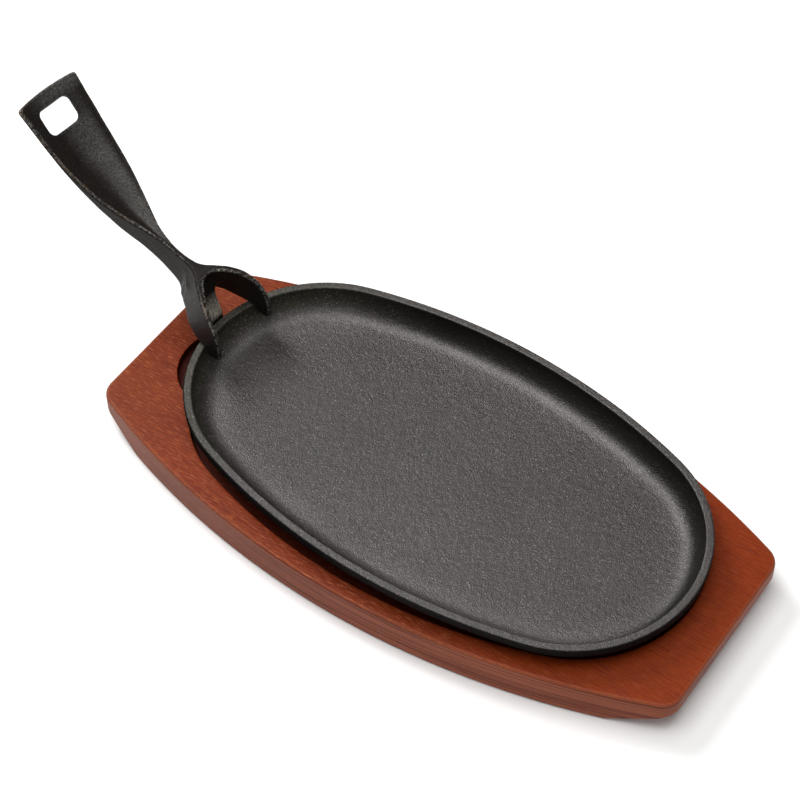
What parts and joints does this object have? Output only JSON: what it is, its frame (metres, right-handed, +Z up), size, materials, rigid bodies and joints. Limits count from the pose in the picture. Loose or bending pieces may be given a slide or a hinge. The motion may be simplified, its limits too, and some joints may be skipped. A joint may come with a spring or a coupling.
{
  "type": "cast iron sizzle platter with board",
  "caption": "Oval cast-iron serving plate lying in a wooden board, with a lift-off cast-iron gripper handle hooked over the plate's rim.",
  "frame": {"origin": "middle of the board's underside", "axes": "+X along the board away from the gripper, +Y across it to the far side, +Z up"},
  "size_m": [0.4121, 0.1656, 0.1214],
  "materials": {
    "stained_wood": "red-brown stained hardwood, open pores along the board, thin matt varnish",
    "plate_iron": "seasoned cast iron, fine pebbled sand-cast skin, satin",
    "handle_iron": "seasoned cast iron, coarser skin in the trough, smooth sides, satin"
  },
  "bodies": {
    "board": {"wooden_board": "stained_wood"},
    "plate": {"sizzle_plate": "plate_iron"},
    "gripper": {"gripper_handle": "handle_iron"}
  },
  "joints": [
    {"name": "plate_lift", "type": "slide", "parent": "board", "child": "plate", "axis": [0, 0, 1], "range_m": [0, 0.06]},
    {"name": "gripper_lift", "type": "slide", "parent": "plate", "child": "gripper", "axis": [0, 0, 1], "range_m": [0, 0.05]}
  ]
}
